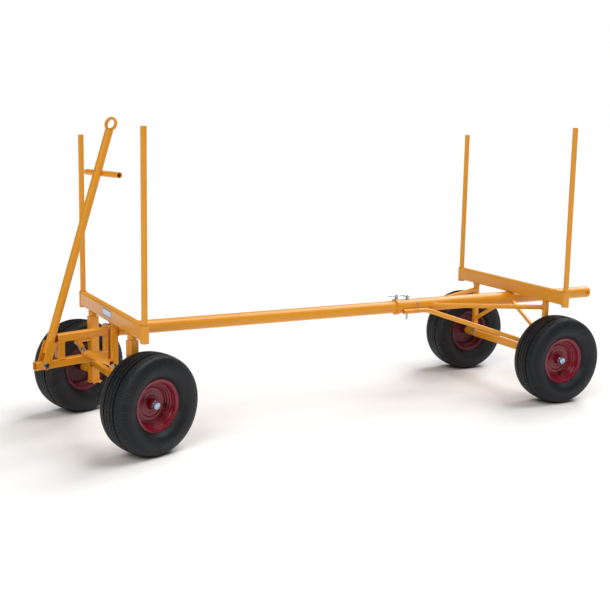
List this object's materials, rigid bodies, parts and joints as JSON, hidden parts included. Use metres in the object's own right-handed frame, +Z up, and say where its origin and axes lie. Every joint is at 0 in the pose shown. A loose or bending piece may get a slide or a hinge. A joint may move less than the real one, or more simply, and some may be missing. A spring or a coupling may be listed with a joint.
{
  "type": "long load trailer",
  "caption": "Steerable long-load trailer: a raised drawbar, a round main tube, a sliding rear bogie and staked bolsters that carry the load, on fat pneumatic tyres.",
  "frame": {"origin": "on the ground, below the middle of the parked trailer's bounding box", "axes": "+X forwards along the main tube, towards the drawbar; +Y to the left; +Z up"},
  "size_m": [3.5438, 1.21, 1.5982],
  "materials": {
    "yellow_paint": "gloss orange-yellow enamel on steel",
    "red_paint": "semi-gloss deep red enamel on pressed steel",
    "tyre_rubber": "matt black rubber",
    "zinc_steel": "bright zinc plate"
  },
  "bodies": {
    "front_frame": {"main_tube": "yellow_paint", "front_bolster": "yellow_paint", "front_stake_sockets": "yellow_paint", "kingpins": "yellow_paint", "front_cross_beam": "yellow_paint", "centre_post": "yellow_paint", "pivot_lugs": "yellow_paint", "pivot_pin": "zinc_steel"},
    "rear_bogie": {"rear_sleeve": "yellow_paint", "clamp_ring": "yellow_paint", "clamp_screws": "zinc_steel", "rear_bolster": "yellow_paint", "rear_stake_sockets": "yellow_paint", "rear_axle_beam": "yellow_paint", "rear_posts": "yellow_paint", "rear_stub_axle_left": "yellow_paint", "rear_stub_axle_right": "yellow_paint", "upper_braces": "yellow_paint", "lower_braces": "yellow_paint", "axle_struts": "yellow_paint"},
    "drawbar_frame": {"frame_pivot_tube": "yellow_paint", "frame_upper_beam": "yellow_paint", "frame_lower_beam": "yellow_paint", "frame_upright": "yellow_paint", "tie_rod_bolt": "zinc_steel", "drawbar_hinge_bolt": "zinc_steel"},
    "drawbar": {"drawbar_tube": "yellow_paint", "drawbar_fork": "yellow_paint", "cross_handle": "yellow_paint", "towing_eye": "yellow_paint"},
    "knuckle_left": {"knuckle_post_left": "yellow_paint", "knuckle_plate_left": "yellow_paint", "front_stub_axle_left": "yellow_paint", "steering_arm_left": "yellow_paint"},
    "steering_rod_left": {"tie_rod_left": "yellow_paint"},
    "knuckle_right": {"knuckle_post_right": "yellow_paint", "knuckle_plate_right": "yellow_paint", "front_stub_axle_right": "yellow_paint", "steering_arm_right": "yellow_paint"},
    "steering_rod_right": {"tie_rod_right": "yellow_paint"},
    "wheel_front_left": {"tyre_front_left": "tyre_rubber", "rim_front_left": "red_paint", "hub_cap_front_left": "zinc_steel"},
    "stake_front_left": {"stake_front_left": "yellow_paint"},
    "wheel_front_right": {"tyre_front_right": "tyre_rubber", "rim_front_right": "red_paint", "hub_cap_front_right": "zinc_steel"},
    "stake_front_right": {"stake_front_right": "yellow_paint"},
    "wheel_rear_left": {"tyre_rear_left": "tyre_rubber", "rim_rear_left": "red_paint", "hub_cap_rear_left": "zinc_steel"},
    "stake_rear_left": {"stake_rear_left": "yellow_paint"},
    "wheel_rear_right": {"tyre_rear_right": "tyre_rubber", "rim_rear_right": "red_paint", "hub_cap_rear_right": "zinc_steel"},
    "stake_rear_right": {"stake_rear_right": "yellow_paint"}
  },
  "joints": [
    {"name": "bogie_slide", "type": "slide", "parent": "front_frame", "child": "rear_bogie", "axis": [1, 0, 0], "range_m": [-0.5, 1.2]},
    {"name": "frame_steer", "type": "hinge", "parent": "front_frame", "child": "drawbar_frame", "pos_m": [1.37506, 0, 0.525], "axis": [0, 0, 1], "range_deg": [-41.5, 8.5]},
    {"name": "drawbar_lift", "type": "hinge", "parent": "drawbar_frame", "child": "drawbar", "pos_m": [1.72024, 0.10225, 0.402], "axis": [-0.284, 0.9588, 0], "range_deg": [0, 122]},
    {"name": "knuckle_left_steer", "type": "hinge", "parent": "front_frame", "child": "knuckle_left", "pos_m": [1.34306, 0.325, 0.25], "axis": [0, 0, 1], "range_deg": [-50.7, 10.5]},
    {"name": "steering_rod_left_pivot", "type": "hinge", "parent": "drawbar_frame", "child": "steering_rod_left", "pos_m": [1.49971, 0.03692, 0.4223], "axis": [0, 0, 1], "range_deg": [-8.6, 41.6]},
    {"name": "knuckle_right_steer", "type": "hinge", "parent": "front_frame", "child": "knuckle_right", "pos_m": [1.34306, -0.325, 0.25], "axis": [0, 0, 1], "range_deg": [-50.7, 10.5]},
    {"name": "steering_rod_right_pivot", "type": "hinge", "parent": "drawbar_frame", "child": "steering_rod_right", "pos_m": [1.49971, 0.03692, 0.4223], "axis": [0, 0, 1], "range_deg": [-8.6, 41.6]},
    {"name": "wheel_front_left_spin", "type": "hinge", "parent": "knuckle_left", "child": "wheel_front_left", "pos_m": [1.29862, 0.44717, 0.25], "axis": [-0.3419, 0.9397, 0], "continuous": true},
    {"name": "wheel_front_right_spin", "type": "hinge", "parent": "knuckle_right", "child": "wheel_front_right", "pos_m": [1.3875, -0.44717, 0.25], "axis": [-0.3419, 0.9397, 0], "continuous": true},
    {"name": "wheel_rear_left_spin", "type": "hinge", "parent": "rear_bogie", "child": "wheel_rear_left", "pos_m": [-1.16694, 0.455, 0.25], "axis": [0, 1, 0], "continuous": true},
    {"name": "wheel_rear_right_spin", "type": "hinge", "parent": "rear_bogie", "child": "wheel_rear_right", "pos_m": [-1.16694, -0.455, 0.25], "axis": [0, 1, 0], "continuous": true},
    {"name": "stake_front_left_lift", "type": "slide", "parent": "front_frame", "child": "stake_front_left", "axis": [0, 0, 1], "range_m": [0, 0.12]},
    {"name": "stake_front_right_lift", "type": "slide", "parent": "front_frame", "child": "stake_front_right", "axis": [0, 0, 1], "range_m": [0, 0.12]},
    {"name": "stake_rear_left_lift", "type": "slide", "parent": "rear_bogie", "child": "stake_rear_left", "axis": [0, 0, 1], "range_m": [0, 0.12]},
    {"name": "stake_rear_right_lift", "type": "slide", "parent": "rear_bogie", "child": "stake_rear_right", "axis": [0, 0, 1], "range_m": [0, 0.12]}
  ],
  "couplings": [
    {"joint": "knuckle_left_steer", "follows": "frame_steer", "ratio": 1.22},
    {"joint": "steering_rod_left_pivot", "follows": "frame_steer", "ratio": -1},
    {"joint": "knuckle_right_steer", "follows": "frame_steer", "ratio": 1.22},
    {"joint": "steering_rod_right_pivot", "follows": "frame_steer", "ratio": -1}
  ]
}
